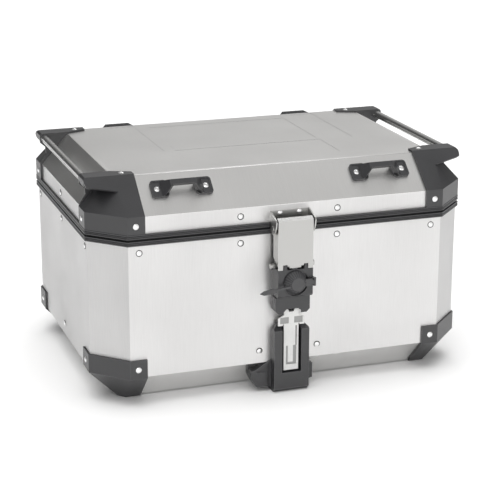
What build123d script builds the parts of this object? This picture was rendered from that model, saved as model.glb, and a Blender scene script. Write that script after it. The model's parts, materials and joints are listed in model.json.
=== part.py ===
"""Aluminium top case for a motorcycle: riveted sheet shells, moulded corners and a key-locked latch.

Millimetres. +X is the case's right, +Y its hinge side, +Z up. The front, with the latch, faces -Y.
The origin is on the ground plane, under the middle of the case.
"""
import math
import os

from build123d import *

# Sheet shells
HALF_X = 291.0              # outside of the side walls
HALF_Y = 212.0              # outside of the front and rear walls
CORNER = 48.0               # leg of the 45 degree upright corners
SHEET = 1.5
PAN_FLOOR_Z = 1.5           # underside of the floor pan
PAN_FOLD_Z = 45.5           # fold between the pan's slope and the upright walls
PAN_FOOT_CORNER = 6.4       # leg of the corner where the slope meets the floor
PAN_UPSTAND_Z = 72.0        # top of the pan's flange inside the walls
WALL_TOP_Z = 250.0
LID_WALL_Z = 257.5          # lower edge of the lid's upright band
LID_FOLD_Z = 287.1          # fold between the band and the slopes
LID_TOP_Z = 333.5
LID_RUN_X = 42.2            # horizontal run of the side slopes
LID_RUN_Y = 55.0            # horizontal run of the front and rear slopes
LID_TOP_CORNER = 1.0
LID_RISE = LID_TOP_Z - LID_FOLD_Z
LID_SLOPE = math.hypot(LID_RISE, LID_RUN_Y)
DIAGONAL = 2 - math.sqrt(2)  # growth of a corner leg per millimetre of offset
ROOM = 400.0                # beyond every face, for cutting boxes

# Pressed trays in the lid top: x from, x to, y from, y to
TRAY_DEPTH = 0.6
TRAYS = (
    (-119.0, 119.0, -113.0, -29.0),
    (-117.0, 117.0, -18.0, 132.0),
    (-174.0, -135.0, -30.0, 150.0),
    (135.0, 174.0, -30.0, 150.0),
)

# Rims and seal
RIM_PROUD = 3.6
RIM_INSIDE = 7.0
BODY_RIM_Z = (245.5, 252.5)
LID_RIM_Z = (255.5, 262.5)
RIM_GROOVE = 0.8
RIM_GROOVES_Z = (247.6, 249.7, 257.5, 259.6)
SEAL_Z = (252.7, 257.0)
SEAL_LIP_TOP_Z = 255.4
SEAL_IN = (6.0, 0.2)        # lip, inwards from the outside of the walls
SEAL_ROOT = (5.2, 2.6)      # root held in the lid rim's groove

# Moulded corners
CAP_WALL = 3.0
CAP_FRONT_X = 218.0         # inner edge of the ears on front and rear
CAP_SIDE_Y = 131.0          # inner edge of the ears on the sides
BASE_CAP_TOP_Z = 72.8
HORN_OUT_X = 293.0
HORN_NOTCH = (246.5, 315.6)  # x and z of the inner end of the horn's lower edge
HORN_TIP = (287.0, 324.0)    # x and z of its outer end
HORN_ROOT_X = 232.0
HORN_TOP_Z = LID_TOP_Z + CAP_WALL

# Grab rails
RAIL_X = 285.5
RAIL_Z = 328.0
RAIL_RADIUS = 6.0
RAIL_BORE = 4.4
RAIL_END_Y = 141.0
RAIL_FIT = 0.1
RAIL_GROOVE = 1.3
BOSS_RADIUS = 8.5
GRUB_RADIUS = 2.0
GRUB_Y = 137.5

# Rivets
HEAD_RADIUS = 4.4
HEAD_HEIGHT = 1.7
SHANK_RADIUS = 1.6
HOLE_RADIUS = 1.65
HOLE_DEPTH = 12.0
TAIL_RADIUS = 2.9
TAIL_HEIGHT = 1.2
BODY_RIVET_Z = 234.0
PAN_RIVET_Z = 64.5
CAP_RIVET_Z = 58.0
LID_RIVET_Z = 274.2
FRONT_RIVETS_X = (75.0, 227.0)
REAR_RIVETS_X = (60.0, 227.0)
SIDE_RIVETS_Y = (-151.0, 0.0, 151.0)
PAN_RIVET_X = 45.7
CAP_RIVET_X = 231.5
CAP_RIVET_Y = 147.0
CAP_TOP_RIVET = (234.0, 146.0)

# Tie loops on the slopes
LOOP_X = 154.0
LOOP_V = 43.2               # up the slope, from the fold to the middle of a loop
LOOP_LENGTH = 91.0
LOOP_HEIGHT = 29.0
LOOP_FOOT = 25.0
LOOP_FOOT_THICK = 3.0
LOOP_PITCH = 73.0
LOOP_RIM = 1.0              # raised border of the feet
LOOP_RIM_WIDTH = 2.5
LOOP_STAND = 17.0
LOOP_BAR = 5.0
LOOP_BAR_V = (-3.0, 5.5)
LOOP_BAR_X = 19.0           # half the bar's straight length
LOOP_LEG_X = (22.0, 31.0)   # inside and outside of the legs at their roots

# Latch on the lid
PIVOT = (-228.0, 256.5)     # y and z of the latch pin
PIVOT_RADIUS = 2.5
PIVOT_FIT = 0.06
BRACKET_X = 31.0
BRACKET_SHEET = 2.0
BRACKET_TOP_Z = 278.5
BRACKET_NOSE = ((-214.5, 278.5), (-238.5, 271.2), (-241.0, 268.0), (-239.0, 259.0))  # ear, y and z
BRACKET_RIVETS_X = (-15.0, 15.0)
ARM_X = 27.0
ARM_SHEET = 1.8
ARM_FRONT_Y = -240.0
ARM_REAR_Y = -218.5
ARM_TOP_Z = 269.0
ARM_FOOT_Z = 195.4
ARM_EDGE_Z = 200.5
ARM_NOTCH_Z = 203.0
STRIKER_X = 9.0
STRIKER_Z = 197.2           # underside of the striker's tab
STRIKER_RISE = 22.0

# Lock column on the body
LOCK_X = 27.0
LOCK_Z = (152.3, 195.0)
WALL_Y = -HALF_Y
KEY_Z = 175.0
RECESS_RADIUS = 20.0
RECESS_DEPTH = 2.5
BUMP_X = (13.2, 18.8)
BUMP_TOP_Z = 202.3
CROSS_PIN = (-224.0, 198.5)
CROSS_PIN_RADIUS = 4.25
CROSS_PIN_X = 34.0
LOWER_FRONT_Y = -229.0
LOWER_Z = (124.0, 149.5)
LOWER_SKIN = 2.5
LOWER_CORNER = 5.0
FOOT_X = 27.5
FOOT_FRONT_Y = -228.0
FOOT_TOP_Z = (97.5, 106.0)
FOOT_SLOT_X = 15.0
FOOT_SLOT_Z = 30.7
FOOT_BACK = (-190.0, 23.5)
FOOT_TOE = 6.0              # chamfer at the bottom of its front
FOOT_SHOULDER = 8.0         # chamfer of its top corners
FOOT_FLANGE = ((0.0, 10.0), (11.0, 13.0), (11.0, 36.0), (0.0, 40.0))  # x beyond the foot, z
FOOT_FLANGE_Y = (-213.5, -204.0)
WEDGE = ((0.0, 50.0), (31.0, 31.5), (31.5, 22.0), (24.0, 8.0), (0.0, 6.0))  # x beyond the foot, z
WEDGE_HOLLOW = ((24.0, 31.0), (1.5, 45.0), (1.5, 8.0), (7.0, 8.0), (7.0, 30.0))
WEDGE_Y = (-214.5, -190.0)
WEDGE_HOLLOW_Y = -212.5

# Key barrel, crank and pawl
BARREL_RADIUS = 7.0
BARREL_FIT = 0.08
BARREL_FRONT_Y = -234.6
BEZEL_FRONT_Y = -237.5
BEZEL_RADIUS = 8.6
BEZEL_FLANGE = 10.2
CRANK_Y = (-227.5, -225.2)
CRANK_RADIUS = 7.6
CRANK_ARM = 2.83            # throw of the crank pin
CRANK_PIN_RADIUS = 1.6
CRANK_PIN_END_Y = -221.2
PAWL_TRAVEL = 4.0
PAWL_Y = (-224.8, -222.0)
PAWL_JOG_Z = (185.6, 188.6)
PAWL_NOSE_Y = (-235.6, -231.6)
PAWL_NOSE_Z = 196.2
PAWL_X = 8.5
NOSE_X = 4.0
GAP = 0.3                   # running gap between flat moving faces

# Release slider
SLIDER_X = 11.5
SLIDER_Y = (-224.0, -222.0)
SLIDER_Z = (33.5, 130.0)
WING_X = 20.5
WING_Z = (104.0, 120.5)
SLIDER_TRAVEL = 8.0
SLIDER_NOTCH = ((-6.0, 1.0), (-3.5, -5.0), (3.5, -5.0), (6.0, 1.0))  # x, height above its top
SLIDER_WINDOW = (-8.0, 8.5)  # recess round the tongue, across
SLIDER_WINDOW_Z = (42.0, 72.0)
SLIDER_TONGUE = (-5.0, 3.0)
SLIDER_TONGUE_Z = (46.0, 76.0)
SLIDER_SLOT = (6.5, 9.0)
SLIDER_SLOT_Z = (72.0, 103.0)
SLIDER_RELIEF = 1.2         # depth of the window and the slot
WING_RECESSES = ((-17.5, -4.0), (4.5, 18.0))
WING_RECESS_Z = (107.0, 117.0)
WING_RELIEF = 0.6
GUIDE_X = 6.0
GUIDE_Y = -218.0
SPRING_RADIUS = 1.6
SPRING_WIRE = 0.27          # half the wire's thickness
SPRING_TURNS = 8
SPRING_STEPS = 12           # facets round a turn
SPRING_SIDES = 6

# Dust cap
CAP_AXIS = (28.0, -243.0)   # x and y of the strap's upright pin
CAP_PIN_RADIUS = 1.25
CAP_EYE_RADIUS = 2.6
CAP_EYE_Z = (172.0, 178.0)
CAP_LUG = 3.3               # height of the lugs above and below the eye
CAP_STRAP_HALF = 5.5        # half the strap's height
CAP_STRAP_X = 24.3
CAP_STRAP_Y = (-246.4, -243.6)
CONE_Y = (-238.8, -251.5)
CONE_RADIUS = (17.5, 10.0)
PLUG_RADIUS = 6.0
PULL_TAB = ((-8.0, -1.0), (-30.0, -4.0), (-40.0, -3.4), (-52.0, -5.6), (-58.0, -9.0), (-52.0, -11.5),
            (-38.0, -10.5), (-28.0, -6.6), (-8.0, -4.0))  # x, height above the key
PULL_TAB_THICK = 2.4

# Hinges
HINGE = (222.0, 254.0)      # y and z of the hinge pins
HINGE_X = 150.0
KNUCKLE_RADIUS = 5.5
HINGE_PIN_RADIUS = 3.0
HINGE_PIN_FIT = 0.06
HINGE_HALF = 30.0
LEAF_RIVETS_X = (-20.0, 20.0)
HINGE_MIDDLE = 15.0
HINGE_SHEET = 2.0
HINGE_RISER_Y = (216.7, 218.9)
BODY_LEAF_Z = (205.0, 243.6)
LID_LEAF_Z = (264.4, 284.0)
BODY_LEAF_RIVETS_Z = (214.0, 232.0)

# Base plate and inside
SOCKET_X = 110.0
SOCKET_Y = 70.0
SOCKET_SIZE = (56.0, 30.0)
SOCKET_POCKET = (44.0, 18.0)
SOCKET_TOP_Z = 15.0
SOCKET_POCKET_Z = 12.0
PLATE_X = 158.0
PLATE_Y = 108.0
PLATE_RIM = 8.0             # wall left round the plate's sunk middle
FLANGE_WIDTH = 12.0
FLANGE_THICK = 2.0
PAN_INSIDE_Z = PAN_FLOOR_Z + SHEET
MAT_TOP_Z = 10.0
MAT_POCKET_Z = 8.0
MAT_X = 238.0
MAT_Y = 159.0
PLATE_SCREWS = ((164.0, 0.0), (164.0, 114.0), (0.0, 114.0), (82.0, 114.0))
SCREW_RADIUS = 2.5
SCREW_HEAD_RADIUS = 4.6
SCREW_HEAD = 2.6
BACK_PLATE_X = 25.0
BACK_PLATE_Z = (80.0, 192.0)
BACK_PLATE_THICK = 2.0
LOCK_SCREWS = ((18.0, 89.0), (18.0, 145.0), (21.5, 158.5), (21.5, 189.0))
LOCK_SCREW_END_Y = -222.0


# ---------------------------------------------------------------- helpers
def box(x0, x1, y0, y1, z0, z1):
    """Block between two corners."""
    return Pos((x0 + x1) / 2, (y0 + y1) / 2, (z0 + z1) / 2) * Box(x1 - x0, y1 - y0, z1 - z0)


def rod_x(radius, x0, x1, y, z):
    return Pos((x0 + x1) / 2, y, z) * Rot(0, 90, 0) * Cylinder(radius, x1 - x0)


def rod_y(radius, y0, y1, x, z):
    return Pos(x, (y0 + y1) / 2, z) * Rot(90, 0, 0) * Cylinder(radius, y1 - y0)


def rod_z(radius, z0, z1, x, y):
    return Pos(x, y, (z0 + z1) / 2) * Cylinder(radius, z1 - z0)


def prism_x(outline, x0, x1):
    """Outline of (y, z) points, drawn at x0 and pushed to x1."""
    wire = Wire.make_polygon([(x0, y, z) for y, z in outline], close=True)
    return Part() + Solid.extrude(Face(wire), Vector(x1 - x0, 0, 0))


def prism_y(outline, y0, y1):
    """Outline of (x, z) points, drawn at y0 and pushed to y1."""
    wire = Wire.make_polygon([(x, y0, z) for x, z in outline], close=True)
    return Part() + Solid.extrude(Face(wire), Vector(0, y1 - y0, 0))


def prism_z(outline, z0, z1):
    """Outline of (x, y) points, drawn at z0 and pushed to z1."""
    wire = Wire.make_polygon([(x, y, z0) for x, y in outline], close=True)
    return Part() + Solid.extrude(Face(wire), Vector(0, 0, z1 - z0))


def octagon(half_x, half_y, corner, z):
    """Rectangle with four 45 degree corners, as a wire at height z."""
    quarter = ((half_x - corner, half_y), (half_x, half_y - corner))
    points = [(x, -y) for x, y in quarter]
    points += [(x, y) for x, y in reversed(quarter)]
    points += [(-x, y) for x, y in quarter]
    points += [(-x, -y) for x, y in reversed(quarter)]
    return Wire.make_polygon([(x, y, z) for x, y in points], close=True)


def between(lower, upper):
    """Solid with flat faces between two octagons."""
    return Part() + Solid.make_loft([octagon(*lower), octagon(*upper)], ruled=True)


def wall_section(offset, z):
    """The upright walls' octagon, moved out by offset."""
    return HALF_X + offset, HALF_Y + offset, CORNER + offset * DIAGONAL, z


def ring(outside, inside, z0, z1):
    """Band that follows the walls, between two offsets."""
    outer = between(wall_section(outside, z0), wall_section(outside, z1))
    return outer - between(wall_section(inside, z0), wall_section(inside, z1))


def body_envelope(offset, top=WALL_TOP_Z):
    """Everything inside the body's outer face, moved out by offset."""
    fold_z = PAN_FOLD_Z - offset * math.tan(math.radians(22.5))
    foot_z = PAN_FLOOR_Z - offset
    inset = fold_z - foot_z
    foot_corner = PAN_FOOT_CORNER + offset * DIAGONAL
    foot = (HALF_X + offset - inset, HALF_Y + offset - inset, foot_corner, foot_z)
    fold = wall_section(offset, fold_z)
    return between(foot, fold) + between(fold, wall_section(offset, top))


def lid_envelope(offset, bottom=LID_WALL_Z):
    """Everything inside the lid's outer face, moved out by offset."""
    fold_z = LID_FOLD_Z + offset * (LID_SLOPE - LID_RISE) / LID_RUN_Y
    fold = wall_section(offset, fold_z)
    side_slope = math.hypot(LID_RISE, LID_RUN_X)
    top_x = HALF_X - LID_RUN_X + offset * (side_slope - LID_RUN_X) / LID_RISE
    top_y = HALF_Y - LID_RUN_Y + offset * (LID_SLOPE - LID_RUN_Y) / LID_RISE
    top_corner = LID_TOP_CORNER + max(offset, 0) * DIAGONAL
    top = (top_x, top_y, top_corner, LID_TOP_Z + offset)
    return between(wall_section(offset, bottom), fold) + between(fold, top)


def four(shape):
    """A front right corner piece and its three mirror images."""
    right = [shape, shape.mirror(Plane.XZ)]
    return right + [piece.mirror(Plane.YZ) for piece in right]


def rivet(at, out, grip):
    """Dome-headed rivet: its head's seat is at the point, its shank grips the sheets behind."""
    rise = (HEAD_RADIUS ** 2 + HEAD_HEIGHT ** 2) / (2 * HEAD_HEIGHT)
    half = math.asin(HEAD_RADIUS / rise) / 2
    middle = (rise * math.sin(half), HEAD_HEIGHT - rise * (1 - math.cos(half)))
    foot = -grip - TAIL_HEIGHT
    corners = [(0, HEAD_HEIGHT), (0, foot), (TAIL_RADIUS, foot), (TAIL_RADIUS, -grip)]
    corners += [(SHANK_RADIUS, -grip), (SHANK_RADIUS, 0), (HEAD_RADIUS, 0)]
    line = Polyline(*[(x, 0, z) for x, z in corners])
    dome = ThreePointArc((HEAD_RADIUS, 0, 0), (middle[0], 0, middle[1]), (0, 0, HEAD_HEIGHT))
    face = make_face(line + dome)
    return Plane(origin=at, z_dir=out) * revolve(face, Axis.Z)


def rivet_hole(at, out):
    """Clearance hole for a rivet's shank, long enough for every stack of sheets."""
    middle = Pos(0, 0, 1 - HOLE_DEPTH / 2)
    return Plane(origin=at, z_dir=out) * middle * Cylinder(HOLE_RADIUS, HOLE_DEPTH)


def drill(shape, seats):
    """Cut the holes of a list of (point, direction, grip) rivet seats."""
    for at, out, _ in seats:
        shape = shape - rivet_hole(at, out)
    return shape


# ---------------------------------------------------------------- rivet seats
FRONT = (0, -1, 0)
REAR = (0, 1, 0)
LEFT = (-1, 0, 0)
RIGHT = (1, 0, 0)
SLOPE_OUT = (0, -LID_RISE / LID_SLOPE, LID_RUN_Y / LID_SLOPE)


def wall_seats():
    """Rivets through the upright walls, and at the bottom through the pan's flange too."""
    seats = []
    for sign in (-1, 1):
        seats += [((sign * x, -HALF_Y, BODY_RIVET_Z), FRONT, SHEET) for x in FRONT_RIVETS_X]
        seats += [((sign * x, HALF_Y, BODY_RIVET_Z), REAR, SHEET) for x in REAR_RIVETS_X]
        side = LEFT if sign < 0 else RIGHT
        seats += [((sign * HALF_X, y, BODY_RIVET_Z), side, SHEET) for y in SIDE_RIVETS_Y]
    return seats


def pan_seats():
    """Rivets that join the pan's flange to the walls."""
    seats = []
    for sign in (-1, 1):
        seats.append(((sign * PAN_RIVET_X, -HALF_Y, PAN_RIVET_Z), FRONT, 2 * SHEET))
        seats.append(((sign * PAN_RIVET_X, HALF_Y, PAN_RIVET_Z), REAR, 2 * SHEET))
        side = LEFT if sign < 0 else RIGHT
        seats.append(((sign * HALF_X, 0, PAN_RIVET_Z), side, 2 * SHEET))
    return seats


def cap_seats(z, grip):
    """Rivets through the ears of the four corners at one height."""
    seats = []
    for x_sign in (-1, 1):
        for y_sign in (-1, 1):
            out = FRONT if y_sign < 0 else REAR
            seats.append(((x_sign * CAP_RIVET_X, y_sign * (HALF_Y + CAP_WALL), z), out, grip))
            out = LEFT if x_sign < 0 else RIGHT
            seats.append(((x_sign * (HALF_X + CAP_WALL), y_sign * CAP_RIVET_Y, z), out, grip))
    return seats


def cap_top_seats():
    """Rivets through the corners' top plates."""
    x, y = CAP_TOP_RIVET
    grip = CAP_WALL + SHEET
    return [((a * x, b * y, HORN_TOP_Z), (0, 0, 1), grip) for a in (-1, 1) for b in (-1, 1)]


def lid_band_seats():
    """Rivets through the lid's upright band."""
    seats = []
    for sign in (-1, 1):
        seats.append(((sign * FRONT_RIVETS_X[0], -HALF_Y, LID_RIVET_Z), FRONT, SHEET))
        seats.append(((sign * REAR_RIVETS_X[0], HALF_Y, LID_RIVET_Z), REAR, SHEET))
        side = LEFT if sign < 0 else RIGHT
        seats.append(((sign * HALF_X, 0, LID_RIVET_Z), side, SHEET))
    return seats


def loop_seats():
    """Two rivets for each tie loop, on the front slope and mirrored on the rear slope."""
    seats = []
    along = LOOP_V * LID_RUN_Y / LID_SLOPE + LOOP_FOOT_THICK * SLOPE_OUT[1]
    height = LID_FOLD_Z + LOOP_V * LID_RISE / LID_SLOPE + LOOP_FOOT_THICK * SLOPE_OUT[2]
    for x in (-LOOP_X, LOOP_X):
        for end in (-LOOP_PITCH / 2, LOOP_PITCH / 2):
            for y_sign in (-1, 1):
                at = (x + end, y_sign * (HALF_Y - along), height)
                out = (0, -y_sign * SLOPE_OUT[1], SLOPE_OUT[2])
                seats.append((at, out, LOOP_FOOT_THICK + SHEET))
    return seats


def bracket_seats():
    """Two rivets that hold the latch bracket."""
    at_y = -HALF_Y - BRACKET_SHEET
    return [((x, at_y, LID_RIVET_Z), FRONT, BRACKET_SHEET + SHEET) for x in BRACKET_RIVETS_X]


def body_leaf_seats():
    """Rivets of the hinge leaves on the body."""
    seats = []
    for x in (-HINGE_X, HINGE_X):
        for side in LEAF_RIVETS_X:
            for z in BODY_LEAF_RIVETS_Z:
                at = (x + side, HALF_Y + HINGE_SHEET, z)
                seats.append((at, REAR, HINGE_SHEET + SHEET))
    return seats


def lid_leaf_seats():
    """Rivets of the hinge leaves on the lid."""
    seats = []
    for x in (-HINGE_X, HINGE_X):
        for side in LEAF_RIVETS_X:
            at = (x + side, HALF_Y + HINGE_SHEET, LID_RIVET_Z)
            seats.append((at, REAR, HINGE_SHEET + SHEET))
    return seats


BASE_CAP_SEATS = cap_seats(CAP_RIVET_Z, CAP_WALL + 2 * SHEET)
LID_CAP_SEATS = cap_seats(LID_RIVET_Z, CAP_WALL + SHEET) + cap_top_seats()


# ---------------------------------------------------------------- body
def lock_screw_holes(radius, y0, y1):
    """Rods at every lock screw, left and right."""
    rods = Part()
    for x, z in LOCK_SCREWS:
        for sign in (-1, 1):
            rods = rods + rod_y(radius, y0, y1, sign * x, z)
    return rods


def body_wall():
    """Upright wall sheet, folded round eight sides."""
    wall = ring(0, -SHEET, PAN_FOLD_Z, WALL_TOP_Z)
    wall = drill(wall, wall_seats() + pan_seats() + BASE_CAP_SEATS + body_leaf_seats())
    return wall - lock_screw_holes(SCREW_RADIUS + GAP, -HALF_Y - 1, -HALF_Y + SHEET + 1)


def floor_pan():
    """Bottom pan: flat floor, 45 degree slopes and a flange up inside the walls."""
    inside_top = PAN_UPSTAND_Z
    pan = body_envelope(0, PAN_FOLD_Z + 1) - body_envelope(-SHEET, inside_top)
    pan = pan & box(-ROOM, ROOM, -ROOM, ROOM, 0, PAN_FOLD_Z)
    flange = ring(-SHEET, -2 * SHEET, PAN_FOLD_Z - 1, PAN_UPSTAND_Z)
    pan = pan + flange
    pan = pan - box(-PLATE_X, PLATE_X, -PLATE_Y, PLATE_Y, 0, PAN_INSIDE_Z + 1)
    pan = pan - plate_screws_cut()
    return drill(pan, pan_seats() + BASE_CAP_SEATS)


def rim(z_range, grooves):
    """Moulded rim with fine grooves round its outer face."""
    low, high = z_range
    shape = ring(RIM_PROUD, -RIM_INSIDE, low, high)
    for z in grooves:
        shape = shape - ring(RIM_PROUD + 1, RIM_PROUD - RIM_GROOVE, z, z + RIM_GROOVE)
    return shape


def body_rim():
    shape = rim(BODY_RIM_Z, RIM_GROOVES_Z[:2])
    return shape - ring(0, -SHEET, BODY_RIM_Z[0] - 1, WALL_TOP_Z)


def base_cap():
    """Front right bottom corner, wrapped over wall, slope and floor."""
    region = box(CAP_FRONT_X, ROOM, -ROOM, -CAP_SIDE_Y, 0, BASE_CAP_TOP_Z)
    shell = (body_envelope(CAP_WALL) & region) - body_envelope(0)
    return drill(shell, BASE_CAP_SEATS)


def plate_screw_places():
    """Every base plate screw, mirrored about both middle planes."""
    places = []
    for x, y in PLATE_SCREWS:
        for a in (-1, 1):
            for b in (-1, 1):
                if (a * x, b * y) not in places:
                    places.append((a * x, b * y))
    return places


def plate_screws_cut():
    rods = Part()
    for x, y in plate_screw_places():
        rods = rods + rod_z(SCREW_RADIUS, 0, SOCKET_TOP_Z, x, y)
    return rods


def base_plate():
    """Moulded plate in the floor, with four sockets for the rack's hooks."""
    wide, deep = PLATE_X - GAP, PLATE_Y - GAP
    plate = box(-wide, wide, -deep, deep, 0, PAN_INSIDE_Z + FLANGE_THICK)
    in_x, in_y = wide - PLATE_RIM, deep - PLATE_RIM
    inner = box(-in_x, in_x, -in_y, in_y, PAN_INSIDE_Z, SOCKET_TOP_Z + 1)
    plate = plate + box(-wide - FLANGE_WIDTH, wide + FLANGE_WIDTH, -deep - FLANGE_WIDTH,
                        deep + FLANGE_WIDTH, PAN_INSIDE_Z, PAN_INSIDE_Z + FLANGE_THICK)
    plate = plate - inner
    half_x, half_y = SOCKET_SIZE[0] / 2, SOCKET_SIZE[1] / 2
    pocket_x, pocket_y = SOCKET_POCKET[0] / 2, SOCKET_POCKET[1] / 2
    for x in (-SOCKET_X, SOCKET_X):
        for y in (-SOCKET_Y, SOCKET_Y):
            plate = plate + box(x - half_x, x + half_x, y - half_y, y + half_y, 0, SOCKET_TOP_Z)
    for x in (-SOCKET_X, SOCKET_X):
        for y in (-SOCKET_Y, SOCKET_Y):
            plate = plate - box(x - pocket_x, x + pocket_x, y - pocket_y, y + pocket_y,
                                -1, SOCKET_POCKET_Z)
    return plate - plate_screws_cut()


def base_plate_screws():
    """Screws that clamp the plate's flange to the pan, heads inside the case."""
    seat = PAN_INSIDE_Z + FLANGE_THICK
    screws = []
    for x, y in plate_screw_places():
        shank = rod_z(SCREW_RADIUS, PAN_FLOOR_Z, seat, x, y)
        screws.append(shank + rod_z(SCREW_HEAD_RADIUS, seat, seat + SCREW_HEAD, x, y))
    return screws


def floor_mat():
    """Mat with a pocket over the base plate's flange and windows for its sockets."""
    corner = CORNER / 4
    mat = between((MAT_X, MAT_Y, corner, PAN_INSIDE_Z), (MAT_X, MAT_Y, corner, MAT_TOP_Z))
    reach_x = PLATE_X + FLANGE_WIDTH + 1
    reach_y = PLATE_Y + FLANGE_WIDTH + 1
    mat = mat - box(-reach_x, reach_x, -reach_y, reach_y, 0, MAT_POCKET_Z)
    half_x, half_y = SOCKET_SIZE[0] / 2 + 1, SOCKET_SIZE[1] / 2 + 1
    for x in (-SOCKET_X, SOCKET_X):
        for y in (-SOCKET_Y, SOCKET_Y):
            mat = mat - box(x - half_x, x + half_x, y - half_y, y + half_y, 0, ROOM)
    return mat


# ---------------------------------------------------------------- lock column
def back_plate():
    """Steel plate inside the front wall that the lock screws pull against."""
    y = -HALF_Y + SHEET
    plate = box(-BACK_PLATE_X, BACK_PLATE_X, y, y + BACK_PLATE_THICK, *BACK_PLATE_Z)
    return plate - lock_screw_holes(SCREW_RADIUS, y - 1, y + BACK_PLATE_THICK + 1)


def lock_screws():
    """Screws from inside the case into the three mouldings of the lock column."""
    seat = -HALF_Y + SHEET + BACK_PLATE_THICK
    screws = []
    for x, z in LOCK_SCREWS:
        for sign in (-1, 1):
            shank = rod_y(SCREW_RADIUS, LOCK_SCREW_END_Y, seat, sign * x, z)
            screws.append(shank + rod_y(SCREW_HEAD_RADIUS, seat, seat + SCREW_HEAD, sign * x, z))
    return screws


def screw_sockets(shape):
    """Cut the blind holes of the lock screws."""
    return shape - lock_screw_holes(SCREW_RADIUS, LOCK_SCREW_END_Y, WALL_Y + 1)


def lock_block():
    """Upper lock moulding: key recess, pawl chamber, guide bumps and the cross pin's lug."""
    low, high = LOCK_Z
    block = box(-LOCK_X, LOCK_X, ARM_FRONT_Y, WALL_Y, low, high)
    block = block - prism_x([(ARM_FRONT_Y, low), (ARM_FRONT_Y + 3, low), (ARM_FRONT_Y, low + 3)],
                            -LOCK_X, LOCK_X)
    for sign in (-1, 1):
        x0, x1 = sorted((sign * BUMP_X[0], sign * BUMP_X[1]))
        bump = [(x0, high), (x1, high), (x1 - 0.8, BUMP_TOP_Z), (x0 + 0.8, BUMP_TOP_Z)]
        block = block + prism_y(bump, ARM_FRONT_Y, ARM_FRONT_Y + 9)
    lug_x = ARM_X - ARM_SHEET - 0.7
    lug_y = CROSS_PIN[0] - 5.5
    lug_z = CROSS_PIN[1] + CROSS_PIN_RADIUS + 2.4
    block = block + box(-lug_x, lug_x, lug_y, WALL_Y - 2, high, lug_z)
    block = block - rod_x(CROSS_PIN_RADIUS, -CROSS_PIN_X, CROSS_PIN_X, *CROSS_PIN)
    front = ARM_FRONT_Y
    block = block - rod_y(RECESS_RADIUS, front - 1, front + RECESS_DEPTH, 0, KEY_Z)
    block = block - rod_y(BEZEL_RADIUS, front, CRANK_Y[1], 0, KEY_Z)
    chamber_x = PAWL_X + GAP
    top = PAWL_JOG_Z[1] + PAWL_TRAVEL + GAP
    rear = PAWL_Y[1] + 2
    block = block - box(-chamber_x, chamber_x, CRANK_Y[0] - GAP, rear, KEY_Z - 13, top)
    jog_front = PAWL_NOSE_Y[0] - GAP
    block = block - box(-chamber_x, chamber_x, jog_front, rear, PAWL_JOG_Z[0] - GAP, top)
    slot_rear = PAWL_NOSE_Y[1] + GAP
    block = block - box(-NOSE_X - GAP, NOSE_X + GAP, jog_front, slot_rear, top - 1, high + 1)
    return screw_sockets(block)


def lower_block():
    """Lower lock moulding: a hood whose hollow lets the release slider rise."""
    low, high = LOWER_Z
    shape = prism_y([(-LOCK_X, low + LOWER_CORNER), (-LOCK_X + LOWER_CORNER, low),
                     (LOCK_X - LOWER_CORNER, low), (LOCK_X, low + LOWER_CORNER),
                     (LOCK_X, high), (-LOCK_X, high)], LOWER_FRONT_Y, WALL_Y)
    hollow_top = SLIDER_Z[1] + SLIDER_TRAVEL + 1
    hollow_x = WING_X + 1
    rear = GUIDE_Y + 3
    shape = shape - box(-hollow_x, hollow_x, LOWER_FRONT_Y + LOWER_SKIN, rear, low - 1, hollow_top)
    mouth_x = SLIDER_X + 2.2
    mouth = [(-mouth_x, low - 1), (mouth_x, low - 1), (mouth_x, low + 3), (mouth_x - 4, low + 7),
             (-mouth_x + 4, low + 7), (-mouth_x, low + 3)]
    shape = shape - prism_y(mouth, LOWER_FRONT_Y - 1, LOWER_FRONT_Y + LOWER_SKIN + 1)
    return screw_sockets(shape)


def lock_foot():
    """Foot moulding under the lock: a slotted guide for the release slider."""
    front, back = FOOT_FRONT_Y, WALL_Y
    profile = [(front + FOOT_TOE, 0), (front, FOOT_TOE), (front, FOOT_TOP_Z[0]),
               (front + 6.5, FOOT_TOP_Z[0] + 3),
               (front + 10, FOOT_TOP_Z[1]), (back, FOOT_TOP_Z[1]), (back, PAN_FOLD_Z), FOOT_BACK,
               (FOOT_BACK[0], 0)]
    foot = prism_x(profile, -FOOT_X, FOOT_X)
    slope = FOOT_TOP_Z[1] - FOOT_SHOULDER
    for sign in (-1, 1):
        cut = [(sign * (FOOT_X + 1), slope), (sign * (FOOT_X - FOOT_SHOULDER), FOOT_TOP_Z[1] + 1),
               (sign * (FOOT_X + 1), FOOT_TOP_Z[1] + 1)]
        foot = foot - prism_y(cut, front - 1, back + 1)
    slot_rear = GUIDE_Y + 3
    foot = foot - box(-FOOT_SLOT_X, FOOT_SLOT_X, front - 1, slot_rear, FOOT_SLOT_Z, ROOM)
    foot = foot + prism_y([(FOOT_X + x, z) for x, z in FOOT_FLANGE], *FOOT_FLANGE_Y)
    foot = foot - body_envelope(0)
    return screw_sockets(foot)


def foot_wedge():
    """Side wedge that braces the foot against the pan's slope."""
    wedge = prism_y([(-FOOT_X - x, z) for x, z in WEDGE], *WEDGE_Y)
    hollow = [(-FOOT_X - x, z) for x, z in WEDGE_HOLLOW]
    wedge = wedge - prism_y(hollow, WEDGE_Y[0] - 1, WEDGE_HOLLOW_Y)
    return wedge - body_envelope(0)


def cross_pin():
    return rod_x(CROSS_PIN_RADIUS, -CROSS_PIN_X, CROSS_PIN_X, *CROSS_PIN)


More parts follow.
